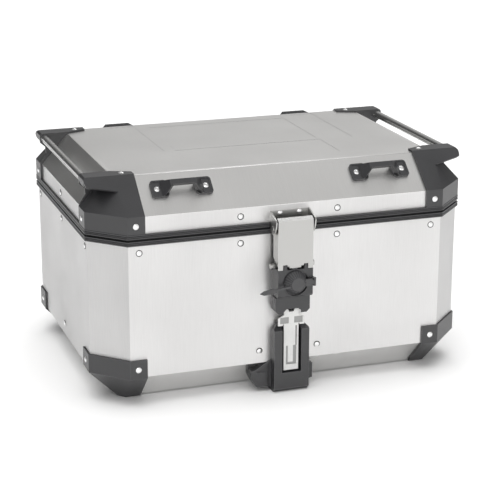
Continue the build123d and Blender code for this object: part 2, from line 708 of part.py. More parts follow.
def key_bezel():
    """Bezel ring that the key barrel turns in."""
    ring_body = rod_y(BEZEL_RADIUS, BEZEL_FRONT_Y, CRANK_Y[0] - GAP, 0, KEY_Z)
    flange = rod_y(BEZEL_FLANGE, BEZEL_FRONT_Y - 1, BEZEL_FRONT_Y, 0, KEY_Z)
    bore = rod_y(BARREL_RADIUS + BARREL_FIT, BEZEL_FRONT_Y - 2, CRANK_Y[0], 0, KEY_Z)
    return ring_body + flange - bore


def key_barrel():
    """Key barrel with its slot, crank disc and crank pin."""
    barrel = rod_y(BARREL_RADIUS, BARREL_FRONT_Y, CRANK_Y[0], 0, KEY_Z)
    barrel = barrel + rod_y(CRANK_RADIUS, *CRANK_Y, 0, KEY_Z)
    barrel = barrel - box(-4, 4, BARREL_FRONT_Y - 1, BARREL_FRONT_Y + 4, KEY_Z - 1, KEY_Z + 1)
    throw = CRANK_ARM / math.sqrt(2)
    pin = rod_y(CRANK_PIN_RADIUS, CRANK_Y[1], CRANK_PIN_END_Y, throw, KEY_Z - throw)
    return barrel + pin


def lock_pawl():
    """Sliding pawl: a slotted plate behind the crank and a nose that enters the latch arm."""
    y0, y1 = PAWL_Y
    jog0, jog1 = PAWL_JOG_Z
    plate = box(-PAWL_X, PAWL_X, y0, y1, KEY_Z - 10, jog1)
    jog = box(-PAWL_X, PAWL_X, PAWL_NOSE_Y[0], y1, jog0, jog1)
    nose = box(-NOSE_X, NOSE_X, *PAWL_NOSE_Y, jog0, PAWL_NOSE_Z)
    throw = CRANK_ARM / math.sqrt(2)
    half = CRANK_PIN_RADIUS + GAP
    slot = box(throw - half - 1, CRANK_ARM + half + 0.6, y0 - 1, y1 + 1,
               KEY_Z - throw - half, KEY_Z - throw + half)
    return plate + jog + nose - slot


def release_slider():
    """Release slider: a ribbed strip with finger wings and a rear guide rib."""
    y0, y1 = SLIDER_Y
    z0, z1 = SLIDER_Z
    body = box(-SLIDER_X, SLIDER_X, y0, y1, z0, z1)
    notch = [(x, z1 + rise) for x, rise in SLIDER_NOTCH]
    body = body - prism_y(notch, y0 - 1, y1 + 1)
    wings = [(-WING_X, WING_Z[0]), (-WING_X + 7, WING_Z[0]), (-SLIDER_X + 1, WING_Z[0] + 5),
             (SLIDER_X - 1, WING_Z[0] + 5), (WING_X - 7, WING_Z[0]), (WING_X, WING_Z[0]),
             (WING_X, WING_Z[1] - 5), (SLIDER_X, WING_Z[1]), (-SLIDER_X, WING_Z[1]),
             (-WING_X, WING_Z[1] - 5)]
    body = body + prism_y(wings, y0, y1)
    relief = y0 + SLIDER_RELIEF
    body = body - box(*SLIDER_WINDOW, y0 - 1, relief, *SLIDER_WINDOW_Z)
    body = body + box(*SLIDER_TONGUE, y0, y1, *SLIDER_TONGUE_Z)
    body = body - box(*SLIDER_SLOT, y0 - 1, relief, *SLIDER_SLOT_Z)
    for x0, x1 in WING_RECESSES:
        body = body - box(x0, x1, y0 - 1, y0 + WING_RELIEF, *WING_RECESS_Z)
    rib = box(-GUIDE_X, GUIDE_X, y1, GUIDE_Y, z0 + 4, z1 - 26)
    seat = box(-GUIDE_X, GUIDE_X, y1, GUIDE_Y, WING_Z[0], WING_Z[0] + 4)
    return body + rib + seat


def slider_spring():
    """Compression spring that holds the release slider down, as one faceted coil."""
    base = WING_Z[0] + 4 + SPRING_WIRE
    pitch = (SLIDER_Z[1] + SLIDER_TRAVEL - base) / SPRING_TURNS
    centre_y = (SLIDER_Y[1] + GUIDE_Y) / 2
    rows = []
    for step in range(SPRING_TURNS * SPRING_STEPS + 1):
        turn = math.tau * step / SPRING_STEPS
        row = []
        for side in range(SPRING_SIDES):
            around = math.tau * side / SPRING_SIDES
            reach = SPRING_RADIUS + SPRING_WIRE * math.cos(around)
            height = base + pitch * step / SPRING_STEPS + SPRING_WIRE * math.sin(around)
            row.append((reach * math.cos(turn), centre_y + reach * math.sin(turn), height))
        rows.append(row)
    faces = [Face(Wire.make_polygon(rows[0])), Face(Wire.make_polygon(rows[-1]))]
    for low, high in zip(rows, rows[1:]):
        for side in range(SPRING_SIDES):
            after = (side + 1) % SPRING_SIDES
            faces.append(Face(Wire.make_polygon([low[side], low[after], high[side]])))
            faces.append(Face(Wire.make_polygon([low[after], high[after], high[side]])))
    return Part() + Solid(Shell(faces))


# ---------------------------------------------------------------- dust cap
def dust_cap():
    """Rubber cap for the keyhole: cone, plug, pull tab and a strap to its hinge eye."""
    back, face = CONE_Y
    cone = Pos(0, (back + face) / 2, KEY_Z) * Rot(90, 0, 0) * Cone(*CONE_RADIUS, back - face)
    plug = rod_y(PLUG_RADIUS, back, back + 3, 0, KEY_Z)
    low, high = CAP_EYE_Z
    strap = box(0, CAP_STRAP_X, *CAP_STRAP_Y, KEY_Z - CAP_STRAP_HALF, KEY_Z + CAP_STRAP_HALF)
    strap = strap + box(0, CAP_AXIS[0] - 1.5, *CAP_STRAP_Y, low, high)
    eye = rod_z(CAP_EYE_RADIUS, low, high, *CAP_AXIS)
    bore = rod_z(CAP_PIN_RADIUS + 0.06, low - 1, high + 1, *CAP_AXIS)
    tab = [(x, KEY_Z + rise) for x, rise in PULL_TAB]
    pull = prism_y(tab, face + 2, face + 2 + PULL_TAB_THICK)
    return cone + plug + strap + eye + pull - bore


def cap_anchor():
    """Clip on the block's side that carries the dust cap's strap pin."""
    x, y = CAP_AXIS
    low, high = CAP_EYE_Z
    foot, head = low - CAP_LUG, high + CAP_LUG
    side = box(LOCK_X, LOCK_X + 2, y + 4.6, y + 15, foot, head)
    lugs = Part()
    for z0, z1 in ((foot, low - GAP), (high + GAP, head)):
        lugs = lugs + box(LOCK_X, x + 1, y, y + 7, z0, z1) + rod_z(CAP_EYE_RADIUS, z0, z1, x, y)
    pin = rod_z(CAP_PIN_RADIUS, foot, head, x, y)
    return side + lugs + pin


# ---------------------------------------------------------------- lid
def lid_shell():
    """Lid sheet: upright band, four slopes and a flat top with pressed trays."""
    shell = lid_envelope(0) - lid_envelope(-SHEET, LID_WALL_Z - 1)
    for x0, x1, y0, y1 in TRAYS:
        depth = LID_TOP_Z - TRAY_DEPTH
        top = Wire.make_polygon([(x0, y0, LID_TOP_Z), (x1, y0, LID_TOP_Z), (x1, y1, LID_TOP_Z),
                                 (x0, y1, LID_TOP_Z)], close=True)
        edge = 2 * TRAY_DEPTH
        floor = Wire.make_polygon([(x0 + edge, y0 + edge, depth), (x1 - edge, y0 + edge, depth),
                                   (x1 - edge, y1 - edge, depth), (x0 + edge, y1 - edge, depth)],
                                  close=True)
        shell = shell - Solid.make_loft([floor, top], ruled=True)
    seats = LID_CAP_SEATS + lid_band_seats() + loop_seats() + bracket_seats() + lid_leaf_seats()
    return drill(shell, seats)


def lid_rim():
    """Lid rim: holds the band in its top groove and the seal underneath."""
    shape = rim(LID_RIM_Z, RIM_GROOVES_Z[2:])
    shape = shape - ring(0, -SHEET, LID_WALL_Z, LID_RIM_Z[1] + 1)
    return shape - ring(-SEAL_ROOT[1], -SEAL_ROOT[0], LID_RIM_Z[0] - 1, SEAL_Z[1])


def lid_seal():
    lip = ring(-SEAL_IN[1], -SEAL_IN[0], SEAL_Z[0], SEAL_LIP_TOP_Z)
    return lip + ring(-SEAL_ROOT[1], -SEAL_ROOT[0], SEAL_LIP_TOP_Z, SEAL_Z[1])


def slope_plane(x):
    """Plane on the front slope: x across, y up the slope, z outwards."""
    return Plane(origin=(x, -HALF_Y, LID_FOLD_Z), x_dir=(1, 0, 0), z_dir=SLOPE_OUT)


def up_slope(z):
    return (z - LID_FOLD_Z) * LID_SLOPE / LID_RISE


def lid_cap():
    """Front right top corner: skin over the lid's corner and a hollow horn for the grab rail."""
    region = box(CAP_FRONT_X, ROOM, -ROOM, -CAP_SIDE_Y, LID_RIM_Z[1], ROOM)
    top_v = up_slope(HORN_TOP_Z) + 10
    face = [(HORN_ROOT_X, up_slope(HORN_NOTCH[1]) - 4), (HORN_NOTCH[0], up_slope(HORN_NOTCH[1])),
            (HORN_TIP[0], up_slope(HORN_TIP[1]) - 2), (HORN_OUT_X - 1.5, up_slope(HORN_TIP[1])),
            (HORN_OUT_X, up_slope(HORN_TIP[1]) + 6), (HORN_OUT_X, top_v), (HORN_ROOT_X, top_v)]
    wire = Wire.make_polygon([(x, v, 0) for x, v in face], close=True)
    plate = slope_plane(0) * (Part() + Solid.extrude(Face(wire), Vector(0, 0, CAP_WALL + 1)))
    beyond = -(HALF_Y - LID_RUN_Y) - 12
    top = prism_z([(CAP_FRONT_X, beyond), (HORN_OUT_X, beyond), (HORN_OUT_X, -CAP_SIDE_Y),
                   (248.0, -CAP_SIDE_Y), (CAP_FRONT_X, -CAP_SIDE_Y - 12)], LID_TOP_Z - 2, ROOM)
    web = [(246.0, LID_TOP_Z - 2), (246.0, ROOM), (HORN_OUT_X, ROOM), (HORN_OUT_X, 322.0),
           (285.0, 315.0), (284.0, 305.0), (HALF_X + CAP_WALL, 289.0), (HALF_X - 6, 289.0)]
    boss_end = -CAP_SIDE_Y - 30
    boss = rod_y(BOSS_RADIUS, boss_end, -CAP_SIDE_Y, HORN_OUT_X - BOSS_RADIUS, RAIL_Z)
    boss = boss + box(HORN_OUT_X - 2 * BOSS_RADIUS, HORN_OUT_X, boss_end, -CAP_SIDE_Y, RAIL_Z, ROOM)
    horn = plate + top + prism_y(web, -CAP_SIDE_Y - CAP_WALL, -CAP_SIDE_Y) + boss
    edge = Pos(HORN_OUT_X, 0, HORN_TOP_Z) * Rot(0, 45, 0) * Box(4, 2 * ROOM, 4)
    horn = (horn & box(0, ROOM, -ROOM, 0, 0, HORN_TOP_Z)) - edge
    skin = lid_envelope(CAP_WALL) & region
    skin = skin - (box(0, 248.0, -ROOM, 0, LID_TOP_Z, ROOM) - top)
    front = slope_plane(0) * (Pos(0, 0, ROOM / 2 + CAP_WALL) * Box(3 * ROOM, 3 * ROOM, ROOM))
    bore = rod_y(RAIL_RADIUS + RAIL_FIT, -RAIL_END_Y - RAIL_FIT, -CAP_SIDE_Y + 1, RAIL_X, RAIL_Z)
    cap = (skin + horn) - front - bore - lid_envelope(0)
    cap = cap - rod_z(GRUB_RADIUS, RAIL_Z - 12, RAIL_Z - RAIL_RADIUS, RAIL_X, -GRUB_Y)
    return drill(cap, LID_CAP_SEATS)


def rail_screws():
    """Grub screws under the horns that clamp the rails."""
    screws = []
    low, high = RAIL_Z - BOSS_RADIUS, RAIL_Z - RAIL_RADIUS
    for a in (-1, 1):
        for b in (-1, 1):
            screws.append(rod_z(GRUB_RADIUS, low, high, a * RAIL_X, b * GRUB_Y))
    return screws


def grab_rail():
    """Right grab rail: a grooved aluminium tube between the two right horns."""
    x, z = RAIL_X, RAIL_Z
    tube = rod_y(RAIL_RADIUS, -RAIL_END_Y, RAIL_END_Y, x, z)
    tube = tube - rod_y(RAIL_BORE, -RAIL_END_Y - 1, RAIL_END_Y + 1, x, z)
    half = RAIL_GROOVE / 2
    for sign in (-1, 1):
        x0, x1 = sorted((x + sign * (RAIL_RADIUS - 0.9), x + sign * (RAIL_RADIUS + 1)))
        tube = tube - box(x0, x1, -CAP_SIDE_Y, CAP_SIDE_Y, z - half, z + half)
    return tube


def tie_loop():
    """Tie-down loop in slope coordinates: two rimmed feet, flared legs and a raised bar."""
    foot_mid = (LOOP_LENGTH - LOOP_FOOT) / 2
    thick = LOOP_FOOT_THICK + LOOP_RIM
    foot = Pos(0, 0, thick / 2) * Box(LOOP_FOOT, LOOP_HEIGHT, thick)
    foot = fillet(foot.edges().filter_by(Axis.Z), 2 * LOOP_RIM_WIDTH)
    border = 2 * LOOP_RIM_WIDTH
    well = Pos(0, 0, thick) * Box(LOOP_FOOT - border, LOOP_HEIGHT - border, 2 * LOOP_RIM)
    foot = foot - fillet(well.edges().filter_by(Axis.Z), LOOP_RIM_WIDTH)
    low, high = LOOP_BAR_V
    leg_in, leg_out = LOOP_LEG_X
    under = LOOP_STAND - LOOP_BAR
    arch = [(-leg_out, 0), (-leg_out, thick), (-LOOP_BAR_X, LOOP_STAND),
            (LOOP_BAR_X, LOOP_STAND), (leg_out, thick), (leg_out, 0), (leg_in, 0),
            (LOOP_BAR_X - 5, under), (5 - LOOP_BAR_X, under), (-leg_in, 0)]
    foot_low, foot_high = -LOOP_HEIGHT / 2, LOOP_HEIGHT / 2 - 2
    plan = [(-leg_out, foot_low), (3 - leg_out, foot_low), (4 - LOOP_BAR_X, low),
            (LOOP_BAR_X - 4, low), (leg_out - 3, foot_low), (leg_out, foot_low),
            (leg_out, foot_high), (LOOP_BAR_X, high), (-LOOP_BAR_X, high),
            (-leg_out, foot_high)]
    bridge = prism_y(arch, foot_low, foot_high) & prism_z(plan, 0, LOOP_STAND)
    loop = Pos(-foot_mid, 0, 0) * foot + Pos(foot_mid, 0, 0) * foot + bridge
    for end in (-LOOP_PITCH / 2, LOOP_PITCH / 2):
        loop = loop - Pos(end, 0, 0) * Cylinder(HOLE_RADIUS, 4 * LOOP_FOOT_THICK)
        loop = loop - Pos(end, 0, LOOP_FOOT_THICK + 3) * Cylinder(HEAD_RADIUS + 1.2, 6)
    return loop


def latch_bracket():
    """Steel bracket on the band: back plate and two ears for the latch pin."""
    rim_top = LID_RIM_Z[1] + 0.2
    back = box(-BRACKET_X, BRACKET_X, WALL_Y - BRACKET_SHEET, WALL_Y, rim_top, BRACKET_TOP_Z)
    y, z = PIVOT
    ear = [(WALL_Y, rim_top), (WALL_Y, BRACKET_TOP_Z), *BRACKET_NOSE, (y - 6.5, z - 6.5),
           (y - 1, z - 10), (y + 5, z - 9), (-217.4, z - 4), (-216.8, rim_top)]
    shape = back
    for sign in (-1, 1):
        x0, x1 = sorted((sign * (BRACKET_X - BRACKET_SHEET), sign * BRACKET_X))
        shape = shape + prism_x(ear, x0, x1)
    shape = shape - rod_x(PIVOT_RADIUS, -BRACKET_X - 1, BRACKET_X + 1, y, z)
    return drill(shape, bracket_seats())


def latch_pin():
    """Pin through the bracket's ears, with a head at each end."""
    y, z = PIVOT
    pin = rod_x(PIVOT_RADIUS, -BRACKET_X, BRACKET_X, y, z)
    for sign in (-1, 1):
        x0, x1 = sorted((sign * BRACKET_X, sign * (BRACKET_X + 1.4)))
        pin = pin + rod_x(PIVOT_RADIUS + 1.3, x0, x1, y, z)
    return pin


def latch_arm():
    """Stainless latch arm: folded channel with a castellated lower edge."""
    front = ARM_FRONT_Y
    edge = [(-ARM_X, ARM_TOP_Z), (-ARM_X, ARM_FOOT_Z), (-BUMP_X[1] - 0.9, ARM_FOOT_Z),
            (-BUMP_X[1] - 0.7, ARM_NOTCH_Z), (-BUMP_X[0] + 0.7, ARM_NOTCH_Z),
            (-BUMP_X[0] + 0.7, ARM_EDGE_Z)]
    edge += [(-x, z) for x, z in reversed(edge)]
    arm = prism_y(edge, front, front + ARM_SHEET)
    roof = [(front, ARM_TOP_Z - 1), (front, ARM_TOP_Z), (front + 7, ARM_TOP_Z + 3.8),
            (front + 7.6, ARM_TOP_Z + 2.2), (front + ARM_SHEET, ARM_TOP_Z - 1)]
    arm = arm + prism_x(roof, -ARM_X, ARM_X)
    y, z = PIVOT
    rear = ARM_REAR_Y
    side = [(front, ARM_FOOT_Z), (front, ARM_TOP_Z), (front + 7, ARM_TOP_Z + 3.2), (y + 4, z + 8.4),
            (y + 8, z + 4.6), (y + 9.3, z), (rear, z - 6), (rear, 209.0), (rear - 2.5, 209.0),
            (rear - 15.5, 202.5), (front + ARM_SHEET, ARM_EDGE_Z), (front + ARM_SHEET, ARM_FOOT_Z)]
    for sign in (-1, 1):
        x0, x1 = sorted((sign * (ARM_X - ARM_SHEET), sign * ARM_X))
        arm = arm + prism_x(side, x0, x1)
    arm = arm - rod_x(PIVOT_RADIUS + PIVOT_FIT, -ARM_X - 1, ARM_X + 1, y, z)
    return arm


def arm_striker():
    """Steel tab welded inside the arm, with the hole that the pawl's nose enters."""
    y = ARM_FRONT_Y + ARM_SHEET
    x, z = STRIKER_X, STRIKER_Z
    tab = box(-x, x, y, PAWL_NOSE_Y[1] + 1.4, z, z + ARM_SHEET)
    tab = tab + box(-x, x, y, y + ARM_SHEET, z + ARM_SHEET, z + STRIKER_RISE)
    reach = NOSE_X + 0.5
    return tab - box(-reach, reach, PAWL_NOSE_Y[0] - 0.35, PAWL_NOSE_Y[1] + 0.5, z - 1, z + 3)


# ---------------------------------------------------------------- hinges
def body_leaf():
    """Hinge leaf on the rear wall, with the two outer knuckles, centred on x = 0."""
    y, z = HINGE
    low, high = BODY_LEAF_Z
    in_y, out_y = HINGE_RISER_Y
    wall = HALF_Y
    leaf = box(-HINGE_HALF, HINGE_HALF, wall, wall + HINGE_SHEET, low, high)
    leaf = leaf + box(-HINGE_HALF, HINGE_HALF, wall, out_y, high - HINGE_SHEET, high)
    for x0, x1 in ((-HINGE_HALF, -HINGE_MIDDLE - GAP), (HINGE_MIDDLE + GAP, HINGE_HALF)):
        leaf = leaf + box(x0, x1, in_y, out_y, high - HINGE_SHEET, z)
        leaf = leaf + rod_x(KNUCKLE_RADIUS, x0, x1, y, z)
    leaf = leaf - rod_x(HINGE_PIN_RADIUS, -HINGE_HALF - 1, HINGE_HALF + 1, y, z)
    return drill(leaf, [((at[0] - HINGE_X, *at[1:]), out, grip) for at, out, grip in body_leaf_seats()])


def lid_leaf():
    """Hinge leaf on the lid's rear band, with the middle knuckle, centred on x = 0."""
    y, z = HINGE
    low, high = LID_LEAF_Z
    in_y, out_y = HINGE_RISER_Y
    wall = HALF_Y
    middle = HINGE_MIDDLE - GAP
    leaf = box(-HINGE_HALF, HINGE_HALF, wall, wall + HINGE_SHEET, low, high)
    leaf = leaf + box(-middle, middle, wall, out_y, low, low + HINGE_SHEET)
    leaf = leaf + box(-middle, middle, in_y, out_y, z, low + HINGE_SHEET)
    leaf = leaf + rod_x(KNUCKLE_RADIUS, -middle, middle, y, z)
    bore = HINGE_PIN_RADIUS + HINGE_PIN_FIT
    leaf = leaf - rod_x(bore, -HINGE_HALF, HINGE_HALF, y, z)
    return drill(leaf, [((at[0] - HINGE_X, *at[1:]), out, grip) for at, out, grip in lid_leaf_seats()])


def hinge_pin():
    """Hinge pin with a peened head at each end, centred on x = 0."""
    y, z = HINGE
    pin = rod_x(HINGE_PIN_RADIUS, -HINGE_HALF, HINGE_HALF, y, z)
    for sign in (-1, 1):
        x0, x1 = sorted((sign * HINGE_HALF, sign * (HINGE_HALF + 1.6)))
        pin = pin + rod_x(HINGE_PIN_RADIUS + 1.4, x0, x1, y, z)
    return pin


# ---------------------------------------------------------------- output
CORNER_NAMES = ("front_right", "rear_right", "front_left", "rear_left")


def save(name, *shapes):
    """Write one node, as a group when it holds several pieces."""
    shape = shapes[0] if len(shapes) == 1 else Compound(children=list(shapes))
    export_step(shape, f"parts/{name}.step")


def rivets(seats):
    return [rivet(at, out, grip) for at, out, grip in seats]


def save_body():
    save("body_wall", body_wall())
    save("floor_pan", floor_pan())
    save("body_rim", body_rim())
    for name, piece in zip(CORNER_NAMES, four(base_cap())):
        save(f"base_corner_{name}", piece)
    save("wall_rivets", *rivets(wall_seats()))
    save("pan_rivets", *rivets(pan_seats()))
    save("base_corner_rivets", *rivets(BASE_CAP_SEATS))
    save("base_plate", base_plate())
    save("base_plate_screws", *base_plate_screws())
    save("floor_mat", floor_mat())


def save_lock():
    save("lock_back_plate", back_plate())
    save("lock_screws", *lock_screws())
    save("lock_block_upper", lock_block())
    save("lock_block_lower", lower_block())
    save("lock_foot", lock_foot())
    save("foot_wedge", foot_wedge())
    save("latch_cross_pin", cross_pin())
    save("key_bezel", key_bezel())
    save("key_barrel", key_barrel())
    save("lock_pawl", lock_pawl())
    save("release_slider", release_slider())
    save("slider_spring", slider_spring())
    save("dust_cap", dust_cap())
    save("dust_cap_anchor", cap_anchor())


def save_lid():
    save("lid_shell", lid_shell())
    save("lid_rim", lid_rim())
    save("lid_seal", lid_seal())
    for name, piece in zip(CORNER_NAMES, four(lid_cap())):
        save(f"lid_corner_{name}", piece)
    save("lid_corner_rivets", *rivets(LID_CAP_SEATS))
    save("lid_rivets", *rivets(lid_band_seats()))
    rail = grab_rail()
    save("grab_rail_right", rail)
    save("grab_rail_left", rail.mirror(Plane.YZ))
    save("rail_screws", *rail_screws())
    for side, x in (("left", -LOOP_X), ("right", LOOP_X)):
        loop = slope_plane(x) * (Pos(0, LOOP_V, 0) * tie_loop())
        save(f"tie_loop_front_{side}", loop)
        save(f"tie_loop_rear_{side}", loop.mirror(Plane.XZ))
    save("tie_loop_rivets", *rivets(loop_seats()))


def save_latch_and_hinges():
    save("latch_bracket", latch_bracket())
    save("latch_bracket_rivets", *rivets(bracket_seats()))
    save("latch_pin", latch_pin())
    save("latch_arm", latch_arm())
    save("arm_striker", arm_striker())
    for side, x in (("left", -HINGE_X), ("right", HINGE_X)):
        save(f"hinge_leaf_body_{side}", Pos(x, 0, 0) * body_leaf())
        save(f"hinge_leaf_lid_{side}", Pos(x, 0, 0) * lid_leaf())
        save(f"hinge_pin_{side}", Pos(x, 0, 0) * hinge_pin())
    save("hinge_rivets_body", *rivets(body_leaf_seats()))
    save("hinge_rivets_lid", *rivets(lid_leaf_seats()))


os.makedirs("parts", exist_ok=True)
save_body()
save_lock()
save_lid()
save_latch_and_hinges()
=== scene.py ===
"""Looks of the aluminium top case: materials, rounded edges, fine pieces, studio and camera.

Metres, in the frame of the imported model: +X right, +Y to the hinges, +Z up, the front faces -Y.
"""
import json
import math

import bmesh
import bpy
import numpy as np
from mathutils import Matrix, Vector


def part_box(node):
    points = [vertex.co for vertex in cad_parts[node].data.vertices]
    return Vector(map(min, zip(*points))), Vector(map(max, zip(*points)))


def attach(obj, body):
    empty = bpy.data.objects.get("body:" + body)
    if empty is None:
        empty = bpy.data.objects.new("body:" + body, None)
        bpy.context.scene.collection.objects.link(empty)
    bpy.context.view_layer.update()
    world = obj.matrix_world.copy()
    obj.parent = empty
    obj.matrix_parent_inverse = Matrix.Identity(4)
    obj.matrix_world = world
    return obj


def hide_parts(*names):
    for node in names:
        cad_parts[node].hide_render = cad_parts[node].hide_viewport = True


MM = 0.001
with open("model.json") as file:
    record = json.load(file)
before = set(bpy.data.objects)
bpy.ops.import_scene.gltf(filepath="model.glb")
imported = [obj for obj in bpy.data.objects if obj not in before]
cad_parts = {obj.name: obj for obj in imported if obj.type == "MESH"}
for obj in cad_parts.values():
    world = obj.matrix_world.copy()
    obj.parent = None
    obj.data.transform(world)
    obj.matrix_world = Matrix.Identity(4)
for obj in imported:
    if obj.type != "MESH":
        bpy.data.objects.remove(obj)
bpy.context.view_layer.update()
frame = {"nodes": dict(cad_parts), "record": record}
NODES = frame["nodes"]
BODY_OF = {node: body for body, nodes in frame["record"]["behaviour"]["bodies"].items()
           for node in nodes}
SLOT_OF = {part["node"]: part["material_slot"] for part in frame["record"]["subparts"]}

# Camera
CAMERA_AT = (-0.7847, -2.2886, 0.9071)
CAMERA_AZIMUTH = -19.22
CAMERA_ELEVATION = 17.29
CAMERA_ROLL = 0.15
CAMERA_LENS = 114.3

# Brightness of the room, the floor and the fill light
ROOM_LEFT = 0.06
ROOM_BACK = 0.46
ROOM_RIGHT = 0.12
ROOM_FRONT = 1.17
ROOM_ABOVE = 0.52
FLOOR_GLOW = 0.02
FLOOR_HALF = 30.0
FILL_STRENGTH = 2.85
FILL_ANGLE = 64
FILL_AT = (-0.25, 0.1, 3.0)

# Softboxes: place, size and watts
KEY_LIGHT = ((-1.2, -2.2, 2.2), (1.2, 1.2), 8)
STRIP_LIGHT = ((0.93, 1.35, 2.55), (2.0, 0.5), 11)
LIGHTS_AIM = (0, 0, 0.15)

# Where the room's brightness changes, on the unit sphere
LEFT_TO_BACK = (-0.32, 0.3)
BACK_TO_RIGHT = (0.5, 0.9)
FRONT_TO_BACK = (-0.75, -0.1)
SIDES_TO_ABOVE = (0.35, 0.85)

# Mesh limits: metres and degrees
SAME_PLACE = 0.000002
FLAT_ANGLE = 1.0
SHARP_ANGLE = 35
SMOOTH_ANGLE = 38
FOLD_LENGTH = 30 * MM
FOLD_CLEARANCE = 5 * MM     # above a sheet's lower edge


# ---------------------------------------------------------------- materials
class Paint:
    """A procedural material on one Principled shader."""

    def __init__(self, name, color, metallic, roughness, **sockets):
        self.material = bpy.data.materials.new(name)
        self.material.use_nodes = True
        self.nodes = self.material.node_tree.nodes
        self.links = self.material.node_tree.links
        self.shader = self.nodes["Principled BSDF"]
        self.color = color
        self.roughness = roughness
        self.normal = None
        self.shader.inputs["Base Color"].default_value = (*color, 1)
        self.shader.inputs["Metallic"].default_value = metallic
        self.shader.inputs["Roughness"].default_value = roughness
        for socket, value in sockets.items():
            self.shader.inputs[socket.replace("_", " ")].default_value = value
        self.place = self.nodes.new("ShaderNodeTexCoord").outputs["Object"]

    def brushed(self, direction, amount):
        """Stretch the gloss along a direction, given in the object's own axes."""
        turn = self.nodes.new("ShaderNodeVectorTransform")
        turn.vector_type = "VECTOR"
        turn.convert_from = "OBJECT"
        turn.convert_to = "WORLD"
        turn.inputs["Vector"].default_value = direction
        self.links.new(turn.outputs["Vector"], self.shader.inputs["Tangent"])
        self.shader.inputs["Anisotropic"].default_value = amount
        return self

    def noise(self, scale, detail=2.0, stretch=(1, 1, 1), rough=0.5):
        """A noise pattern, scale in lumps per metre, stretched along axes."""
        mapping = self.nodes.new("ShaderNodeMapping")
        mapping.inputs["Scale"].default_value = stretch
        noise = self.nodes.new("ShaderNodeTexNoise")
        noise.inputs["Scale"].default_value = scale
        noise.inputs["Detail"].default_value = detail
        noise.inputs["Roughness"].default_value = rough
        self.links.new(self.place, mapping.inputs["Vector"])
        self.links.new(mapping.outputs["Vector"], noise.inputs["Vector"])
        return noise.outputs["Fac"]

    def spread(self, pattern, low, high, start=0.3, stop=0.7):
        """Map a pattern's values between start and stop to the range low to high."""
        spread = self.nodes.new("ShaderNodeMapRange")
        spread.inputs["From Min"].default_value = start
        spread.inputs["From Max"].default_value = stop
        spread.inputs["To Min"].default_value = low
        spread.inputs["To Max"].default_value = high
        self.links.new(pattern, spread.inputs["Value"])
        return spread.outputs["Result"]

    def vary_roughness(self, pattern, amount):
        value = self.spread(pattern, self.roughness - amount, self.roughness + amount)
        self.links.new(value, self.shader.inputs["Roughness"])
        return self

    def vary_color(self, pattern, darkest, start=0.3, stop=0.7):
        """Base colour between darkest times itself and itself."""
        mix = self.nodes.new("ShaderNodeMix")
        mix.data_type = "RGBA"
        mix.inputs["A"].default_value = (*[c * darkest for c in self.color], 1)
        mix.inputs["B"].default_value = (*self.color, 1)
        self.links.new(self.spread(pattern, 0, 1, start, stop), mix.inputs["Factor"])
        self.links.new(mix.outputs["Result"], self.shader.inputs["Base Color"])
        return self

    def bump(self, pattern, depth, strength=1.0):
        """Raise the surface by a pattern, depth in metres."""
        bump = self.nodes.new("ShaderNodeBump")
        bump.inputs["Strength"].default_value = strength
        bump.inputs["Distance"].default_value = depth
        self.links.new(pattern, bump.inputs["Height"])
        if self.normal is not None:
            self.links.new(self.normal, bump.inputs["Normal"])
        self.normal = bump.outputs["Normal"]
        self.links.new(self.normal, self.shader.inputs["Normal"])
        return self


def sheet_aluminium(name, color, stretch, roughness, gloss_along=None):
    """Satin sheet with fine streaks along one axis."""
    paint = Paint(name, color, 1.0, roughness)
    streaks = paint.noise(1300, 1.5, stretch)
    cloud = paint.noise(9, 2.0)
    paint.vary_color(streaks, 0.965)
    paint.vary_roughness(cloud, 0.03)
    paint.bump(streaks, 0.00002, 0.15)
    if gloss_along:
        paint.brushed(gloss_along, 0.88)
    return paint.material


def moulded(name, color, roughness, grain=900, depth=0.00010, specular=0.75):
    """Moulded plastic with a fine spark-eroded grain."""
    paint = Paint(name, color, 0.0, roughness, Specular_IOR_Level=specular)
    cells = paint.noise(grain, 4.0, rough=0.6)
    paint.vary_color(paint.noise(25, 3.0), 0.86)
    paint.vary_roughness(cells, 0.06)
    paint.bump(cells, depth, 0.5)
    return paint.material


def blasted(name, color, roughness, metallic=1.0):
    """Bead-blasted or plated metal."""
    paint = Paint(name, color, metallic, roughness)
    cells = paint.noise(1600, 3.0, rough=0.6)
    paint.vary_color(cells, 0.86)
    paint.vary_roughness(cells, 0.05)
    paint.bump(cells, 0.00005, 0.5)
    return paint.material


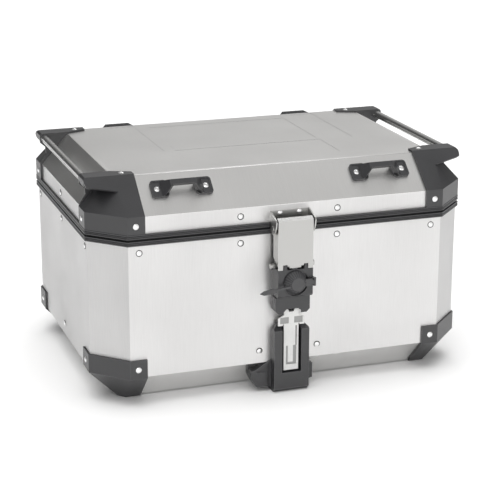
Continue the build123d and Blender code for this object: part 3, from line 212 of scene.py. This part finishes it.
WALL_SHEET = sheet_aluminium("wall_sheet", (0.87, 0.865, 0.862), (1, 1, 0.03), 0.5, (0, 0, 1))
FOLDED_SHEET = sheet_aluminium("folded_sheet", (0.86, 0.855, 0.845), (1, 0.03, 0.03), 0.4)
# Glossier copy of the wall sheet for the pan's chamfers; its darker base colour is painted shade
SHADED_PAN_SHEET = sheet_aluminium("pan_sheet_painted_shade", (0.8, 0.797, 0.79), (1, 0.03, 0.03), 0.26)
# Near-white metal for the latch arm's top faces and rounded edges: a painted highlight
ARM_HIGHLIGHT = blasted("arm_highlight_steel", (0.97, 0.97, 0.96), 0.25)
# Brighter, glossier metal on the lid's rounded folds and tray steps: a painted highlight along
# these edges
LID_EDGE_HIGHLIGHT = blasted("lid_edge_highlight", (0.93, 0.925, 0.92), 0.3)
CAP_RUBBER = moulded("cap_rubber", (0.04, 0.04, 0.042), 0.42)
# Lighter plastic for the dust cap's ribs: a painted highlight
CAP_RIB_HIGHLIGHT = moulded("cap_ribs", (0.075, 0.075, 0.08), 0.38)
# Lighter, glossier plastic for the rounded edges of black mouldings: painted highlights along the
# edges
EDGE_HIGHLIGHT = moulded("moulded_edge_highlight", (0.075, 0.075, 0.08), 0.3)
# Grey metal for the floors of the slider's recesses, darkened further as painted shade
RECESS_SHADED_GREY = blasted("slider_recess_shaded", (0.34, 0.34, 0.335), 0.4)
MATERIALS = {
    "satin_aluminium": WALL_SHEET,
    "rail_aluminium": blasted("rail_aluminium", (0.72, 0.72, 0.715), 0.26),
    "rivet_aluminium": blasted("rivet_aluminium", (0.95, 0.95, 0.95), 0.3),
    "stainless_steel": blasted("stainless_steel", (0.545, 0.542, 0.53), 0.36),
    "zinc_steel": blasted("zinc_steel", (0.6, 0.61, 0.62), 0.33),
    "moulded_black": moulded("moulded_black", (0.024, 0.024, 0.026), 0.38),
    "slider_plastic": moulded("slider_plastic", (0.72, 0.72, 0.71), 0.3, depth=0.00003),
    "black_rubber": moulded("black_rubber", (0.016, 0.016, 0.017), 0.6, specular=0.35),
    "lock_metal": blasted("lock_metal", (0.7, 0.7, 0.7), 0.2),
}


# ---------------------------------------------------------------- mesh pieces
def flat_copy(node):
    """The CAD node's mesh with its triangles joined into flat faces."""
    mesh = NODES[node].data.copy()
    shape = bmesh.new()
    shape.from_mesh(mesh)
    bmesh.ops.remove_doubles(shape, verts=shape.verts, dist=SAME_PLACE)
    bmesh.ops.dissolve_limit(shape, angle_limit=math.radians(FLAT_ANGLE), verts=shape.verts,
                             edges=shape.edges)
    bmesh.ops.recalc_face_normals(shape, faces=shape.faces)
    shape.to_mesh(mesh)
    shape.free()
    return mesh


def rounded(node, width, segments=2, base=None, edge=None, other=None, pick=None, line=None,
            folds=False):
    """A piece in the shape of a CAD node, with its sharp edges rounded.

    The rounded edges can have a material of their own, which the faces that line chooses share,
    and so can the faces that pick chooses. With folds, only a sheet's long folds are rounded.
    """
    mesh = flat_copy(node)
    mesh.materials.clear()
    base = base or MATERIALS[SLOT_OF[node]]
    mesh.materials.append(base)
    mesh.materials.append(edge or base)
    if other:
        mesh.materials.append(other)
        for face in mesh.polygons:
            if pick(face):
                face.material_index = 2
    for face in mesh.polygons:
        if line and line(face):
            face.material_index = 1
    piece = bpy.data.objects.new(f"{node}_piece", mesh)
    bpy.context.scene.collection.objects.link(piece)
    if width:
        bevel = piece.modifiers.new("round", "BEVEL")
        bevel.material = 1 if edge else -1
        bevel.width = width
        bevel.segments = segments
        bevel.limit_method = "WEIGHT" if folds else "ANGLE"
        bevel.angle_limit = math.radians(SHARP_ANGLE)
        bevel.loop_slide = not folds
        if folds:
            weigh_folds(node, mesh)
    finish_mesh(piece)
    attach(piece, BODY_OF[node])
    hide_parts(node)
    return piece


def weigh_folds(node, mesh):
    """Mark the long folds above a sheet's lower edge for rounding."""
    shape = bmesh.new()
    shape.from_mesh(mesh)
    weight = shape.edges.layers.float.new("bevel_weight_edge")
    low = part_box(node)[0][2] + FOLD_CLEARANCE
    for edge in shape.edges:
        height = min(vert.co.z for vert in edge.verts)
        if height > low and edge.calc_length() > FOLD_LENGTH:
            edge[weight] = float(edge.calc_face_angle(0) > math.radians(SHARP_ANGLE))
    shape.to_mesh(mesh)
    shape.free()


def finish_mesh(piece):
    """Apply the piece's modifiers and shade it smooth with weighted normals."""
    settle(piece)
    mesh = piece.data
    mesh.polygons.foreach_set("use_smooth", [True] * len(mesh.polygons))
    mesh.set_sharp_from_angle(angle=math.radians(SMOOTH_ANGLE))
    weighted = piece.modifiers.new("weighted", "WEIGHTED_NORMAL")
    weighted.keep_sharp = True
    settle(piece)


def settle(piece):
    """Replace the piece's mesh with its modifiers' result."""
    graph = bpy.context.evaluated_depsgraph_get()
    mesh = bpy.data.meshes.new_from_object(piece.evaluated_get(graph))
    piece.modifiers.clear()
    piece.data = mesh


# Rounding of edges, in millimetres
RIM_EDGES = {"body_rim": 0.4, "lid_rim": 0.4}
BLACK_EDGES = {
    "lock_block_upper": 0.9, "lock_block_lower": 0.9,
    "lock_foot": 1.2, "foot_wedge": 0.35, "dust_cap_anchor": 0.4,
}
METAL_EDGES = {
    "latch_bracket": 0.4, "latch_pin": 0.5, "latch_cross_pin": 0.6,
    "key_bezel": 0.3, "key_barrel": 0.3,
}
CORNER_EDGE = 1.1
LOOP_EDGE = 0.9

# Rivets and the dust cap, in millimetres
RIVET_HEAD_HEIGHT = 1.7
# Profile of the dark ring round each rivet head, a painted shadow: radius and height
SHADOW_RING_PROFILE = ((3.4, 0.0), (4.95, 0.0), (4.95, 0.2), (4.75, 0.35), (3.4, 0.35))
SHADOW_RING_STEPS = 32
CAP_CONE = ((17.5, -238.8), (10.0, -251.5))  # radius and y of the cone's foot and face
CAP_RIBS = 26
RIB_HALF = 0.45


def corner_nodes():
    return [n for n in NODES if "_corner_" in n and not n.endswith("rivets")]


def loop_nodes():
    return [n for n in NODES if n.startswith("tie_loop_") and n != "tie_loop_rivets"]


def is_slanted(face):
    return abs(face.normal.z) >= 0.2


def is_tray_wall(face):
    """Shallow step at the edge of a tray in the lid's top."""
    return 0.8 < face.normal.z < 0.98 and face.center.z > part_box("lid_shell")[1][2] - 2 * MM


def is_arm_roof(face):
    return face.normal.z > 0.6 and face.center.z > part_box("latch_arm")[1][2] - 4 * MM


def is_recess(face):
    """Floor of a recess in the slider's front."""
    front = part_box("release_slider")[0][1]
    return face.normal.y < -0.9 and front + 0.4 * MM < face.center.y < front + 1.9 * MM


def dress_nodes():
    """Give every CAD node its material, and round the edges of what is seen."""
    for node, item in NODES.items():
        item.data.materials.clear()
        item.data.materials.append(MATERIALS[SLOT_OF[node]])
    for node, width in RIM_EDGES.items():
        rounded(node, width * MM)
    # Black mouldings, lid corners, tie loops and the dust cap get lighter plastic on their rounded
    # edges: painted highlights
    for node, width in BLACK_EDGES.items():
        rounded(node, width * MM, edge=EDGE_HIGHLIGHT)
    for node, width in METAL_EDGES.items():
        rounded(node, width * MM)
    for node in corner_nodes():
        rounded(node, CORNER_EDGE * MM, edge=EDGE_HIGHLIGHT)
    for node in loop_nodes():
        rounded(node, LOOP_EDGE * MM, edge=EDGE_HIGHLIGHT)
    rounded("dust_cap", 0.6 * MM, edge=EDGE_HIGHLIGHT, base=CAP_RUBBER)
    # The slider's recess floors in dark grey: painted shade
    rounded("release_slider", 0, other=RECESS_SHADED_GREY, pick=is_recess)
    # The latch arm's roof and rounded edges in near-white metal: painted highlight
    rounded("latch_arm", 0.7 * MM, edge=ARM_HIGHLIGHT, other=ARM_HIGHLIGHT, pick=is_arm_roof)
    # The lid's rounded folds and tray steps in brighter metal: painted highlight
    rounded("lid_shell", 1.4 * MM, 3, edge=LID_EDGE_HIGHLIGHT, other=FOLDED_SHEET, pick=is_slanted,
            line=is_tray_wall, folds=True)
    rounded("body_wall", 0.6 * MM)
    # The pan's chamfers take the darkened sheet: painted shade
    rounded("floor_pan", 0.9 * MM, other=SHADED_PAN_SHEET, pick=is_slanted)


def islands(mesh):
    """The separate shells of a mesh, each as an array of its points."""
    shape = bmesh.new()
    shape.from_mesh(mesh)
    bmesh.ops.remove_doubles(shape, verts=shape.verts, dist=SAME_PLACE)
    left = set(shape.verts)
    found = []
    while left:
        stack = [left.pop()]
        group = []
        while stack:
            vert = stack.pop()
            group.append(tuple(vert.co))
            for edge in vert.link_edges:
                other = edge.other_vert(vert)
                if other in left:
                    left.remove(other)
                    stack.append(other)
        found.append(np.array(group))
    shape.free()
    return found


def rivet_seat(points):
    """Where a rivet's head meets the sheet, and the direction that the head points in."""
    middle = (points.max(axis=0) + points.min(axis=0)) / 2
    values, vectors = np.linalg.eigh(np.cov((points - points.mean(axis=0)).T))
    gaps = (values[1] - values[0], values[2] - values[1])
    axis = vectors[:, 2] if gaps[1] > gaps[0] else vectors[:, 0]
    along = (points - middle) @ axis
    across = np.linalg.norm((points - middle) - np.outer(along, axis), axis=1)
    widest = along[across > 0.9 * across.max()].mean()
    if widest < 0:
        axis = -axis
        along = -along
    centre = middle + axis * along.max()
    return Vector(centre) - Vector(axis) * RIVET_HEAD_HEIGHT * MM, Vector(axis)


def rivet_shadow_rings(node):
    """Thin dark rings round the rivets' heads: painted shadow in the gap at each head's rim."""
    shape = bmesh.new()
    for points in islands(NODES[node].data):
        seat, axis = rivet_seat(points)
        turn = axis.to_track_quat("Z", "Y").to_matrix().to_4x4()
        place = Matrix.Translation(seat) @ turn
        rows = []
        for step in range(SHADOW_RING_STEPS):
            angle = math.tau * step / SHADOW_RING_STEPS
            rows.append([shape.verts.new(place @ Vector((r * MM * math.cos(angle),
                                                         r * MM * math.sin(angle), h * MM)))
                         for r, h in SHADOW_RING_PROFILE])
        for step in range(SHADOW_RING_STEPS):
            here, after = rows[step], rows[(step + 1) % SHADOW_RING_STEPS]
            for low in range(len(SHADOW_RING_PROFILE)):
                high = (low + 1) % len(SHADOW_RING_PROFILE)
                shape.faces.new((here[low], after[low], after[high], here[high]))
    # Drawn in black rubber: painted shadow
    add_piece(f"{node}_painted_shadow_rings", shape, BODY_OF[node], "black_rubber")


def cap_ribs():
    """Radial grip ribs on the dust cap's cone."""
    shape = bmesh.new()
    centre_z = (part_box("key_barrel")[0][2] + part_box("key_barrel")[1][2]) / 2
    back, face = CAP_CONE
    for step in range(CAP_RIBS):
        angle = math.tau * step / CAP_RIBS
        out = Vector((math.cos(angle), 0, math.sin(angle)))
        side = Vector((-math.sin(angle), 0, math.cos(angle))) * RIB_HALF * MM
        foot = out * (back[0] - 0.5) * MM + Vector((0, back[1] * MM - 0.5 * MM, centre_z))
        head = out * (face[0] + 0.3) * MM + Vector((0, face[1] * MM + 0.8 * MM, centre_z))
        lift = out * 0.6 * MM + Vector((0, -0.4 * MM, 0))
        low = [foot - side, foot + side, head + side, head - side]
        verts = [shape.verts.new(p - lift) for p in low] + [shape.verts.new(p + lift) for p in low]
        for quad in ((3, 2, 1, 0), (4, 5, 6, 7), (0, 1, 5, 4), (1, 2, 6, 5), (2, 3, 7, 6),
                     (3, 0, 4, 7)):
            shape.faces.new([verts[i] for i in quad])
    # The ribs in lighter plastic: painted highlight
    add_piece("dust_cap_ribs", shape, "dust_cap", "black_rubber", CAP_RIB_HIGHLIGHT, 0.2 * MM)


def add_piece(name, shape, body, slot, material=None, width=0.0):
    """Make a piece of a bmesh: rounded by width, shaded, riding on a body."""
    bmesh.ops.recalc_face_normals(shape, faces=shape.faces)
    mesh = bpy.data.meshes.new(name)
    shape.to_mesh(mesh)
    shape.free()
    mesh.materials.append(material or MATERIALS[slot])
    piece = bpy.data.objects.new(name, mesh)
    bpy.context.scene.collection.objects.link(piece)
    if width:
        bevel = piece.modifiers.new("round", "BEVEL")
        bevel.width = width
        bevel.segments = 2
        bevel.limit_method = "ANGLE"
        bevel.angle_limit = math.radians(SHARP_ANGLE)
    finish_mesh(piece)
    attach(piece, body)
    return piece


# ---------------------------------------------------------------- studio
def aim(item, at, target):
    """Put an object at a place with its -Z towards the target."""
    item.location = at
    item.rotation_euler = (Vector(target) - Vector(at)).to_track_quat("-Z", "Y").to_euler()


def softbox(name, at, size, watts):
    light = bpy.data.lights.new(name, "AREA")
    light.shape = "RECTANGLE"
    light.size, light.size_y = size
    light.energy = watts
    lamp = bpy.data.objects.new(name, light)
    bpy.context.scene.collection.objects.link(lamp)
    aim(lamp, at, LIGHTS_AIM)


def add_fill():
    """Very wide, soft light from above: it fills shadows and leaves no highlight of its own."""
    light = bpy.data.lights.new("fill", "SUN")
    light.energy = FILL_STRENGTH
    light.angle = math.radians(FILL_ANGLE)
    lamp = bpy.data.objects.new("fill", light)
    lamp.visible_glossy = False
    bpy.context.scene.collection.objects.link(lamp)
    aim(lamp, FILL_AT, (0, 0, 0))


def add_floor():
    """White floor, lit from above and a little from itself, so that it stays clean."""
    mesh = bpy.data.meshes.new("floor")
    half = FLOOR_HALF
    corners = [(-half, -half, 0), (half, -half, 0), (half, half, 0), (-half, half, 0)]
    mesh.from_pydata(corners, [], [(0, 1, 2, 3)])
    floor = bpy.data.objects.new("floor", mesh)
    bpy.context.scene.collection.objects.link(floor)
    paint = Paint("floor_white", (0.8, 0.8, 0.8), 0.0, 0.7)
    paint.shader.inputs["Emission Color"].default_value = (1, 1, 1, 1)
    paint.shader.inputs["Emission Strength"].default_value = FLOOR_GLOW
    mesh.materials.append(paint.material)


def add_world():
    """Pale room: bright in front, grey overhead and to the right, dark at the back left."""
    world = bpy.data.worlds.new("room")
    bpy.context.scene.world = world
    world.use_nodes = True
    nodes, links = world.node_tree.nodes, world.node_tree.links
    back = nodes["Background"]
    where = nodes.new("ShaderNodeTexCoord")
    split = nodes.new("ShaderNodeSeparateXYZ")
    links.new(where.outputs["Generated"], split.inputs["Vector"])

    def ramp(axis, start, stop, low, high):
        step = nodes.new("ShaderNodeMapRange")
        step.interpolation_type = "SMOOTHSTEP"
        step.inputs["From Min"].default_value = start
        step.inputs["From Max"].default_value = stop
        step.inputs["To Min"].default_value = low
        step.inputs["To Max"].default_value = high
        links.new(split.outputs[axis], step.inputs["Value"])
        return step.outputs["Result"]

    def mix(factor, first, level):
        blend = nodes.new("ShaderNodeMix")
        links.new(factor, blend.inputs["Factor"])
        links.new(first, blend.inputs["A"])
        blend.inputs["B"].default_value = level
        return blend.outputs["Result"]

    level = ramp("X", *LEFT_TO_BACK, ROOM_LEFT, ROOM_BACK)
    level = mix(ramp("X", *BACK_TO_RIGHT, 0, 1), level, ROOM_RIGHT)
    level = mix(ramp("Y", *FRONT_TO_BACK, 1, 0), level, ROOM_FRONT)
    level = mix(ramp("Z", *SIDES_TO_ABOVE, 0, 1), level, ROOM_ABOVE)
    links.new(level, back.inputs["Strength"])
    back.inputs["Color"].default_value = (1.0, 0.995, 0.985, 1)


def add_camera():
    azimuth, elevation = math.radians(CAMERA_AZIMUTH), math.radians(CAMERA_ELEVATION)
    back = Vector((math.sin(azimuth) * math.cos(elevation),
                   -math.cos(azimuth) * math.cos(elevation), math.sin(elevation)))
    right = Vector((math.cos(azimuth), math.sin(azimuth), 0))
    up = back.cross(right)
    roll = math.radians(CAMERA_ROLL)
    across = right * math.cos(roll) + up * math.sin(roll)
    above = up * math.cos(roll) - right * math.sin(roll)
    turn = Matrix((across, above, back)).transposed().to_4x4()
    data = bpy.data.cameras.new("camera")
    data.lens = CAMERA_LENS
    data.clip_end = 200
    camera = bpy.data.objects.new("camera", data)
    camera.matrix_world = Matrix.Translation(CAMERA_AT) @ turn
    bpy.context.scene.collection.objects.link(camera)
    bpy.context.scene.camera = camera


dress_nodes()
for riveted in ("wall_rivets", "pan_rivets", "lid_rivets"):
    rivet_shadow_rings(riveted)
cap_ribs()
add_floor()
add_world()
add_fill()
softbox("key", *KEY_LIGHT)
softbox("strip", *STRIP_LIGHT)
add_camera()
bpy.context.scene.view_settings.view_transform = "Standard"
